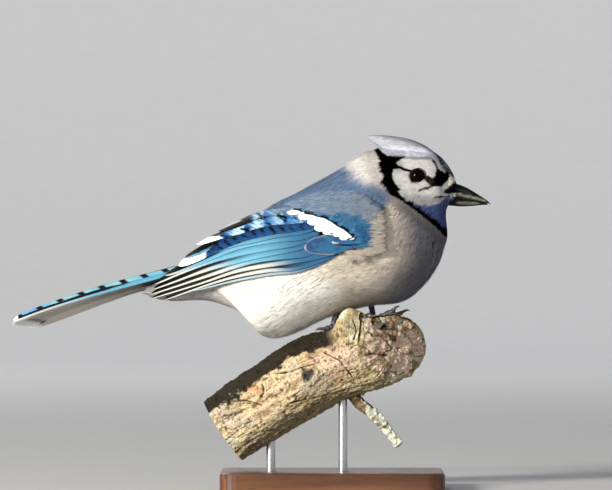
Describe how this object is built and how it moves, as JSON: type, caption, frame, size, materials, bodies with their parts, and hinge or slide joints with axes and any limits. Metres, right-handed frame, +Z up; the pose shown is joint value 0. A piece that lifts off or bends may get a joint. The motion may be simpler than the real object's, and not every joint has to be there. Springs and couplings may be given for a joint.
{
  "type": "perched blue jay model on a display stand",
  "caption": "Life-size still model of a perched blue jay with a raised crest, folded wings and long tail, gripping a short cut branch held by rods on a flat base.",
  "frame": {"origin": "centre of the underside of the stand's base", "axes": "+X the way the bird faces, from tail to bill; +Y to the bird's left; +Z up from the base"},
  "size_m": [0.2669, 0.08, 0.196],
  "materials": {
    "plumage": "barred blue, white and grey feathers",
    "horn": "satin dark horn",
    "eye": "wet dark brown eye",
    "bark": "cracked bark with lichen and a broken end",
    "stand_wood": "dark oiled wood",
    "stand_steel": "satin rod"
  },
  "bodies": {
    "root": {"head": "plumage", "crest": "plumage", "neck": "plumage", "trunk": "plumage", "tail": "plumage", "wing_right": "plumage", "wing_left": "plumage", "leg_right": "horn", "leg_left": "horn", "foot_right": "horn", "foot_left": "horn", "bill_upper": "horn", "bill_lower": "horn", "eye_right": "eye", "eye_left": "eye", "perch": "bark", "perch_twig": "bark", "stand_base": "stand_wood", "stand_rod_front": "stand_steel", "stand_rod_rear": "stand_steel"}
  },
  "joints": []
}
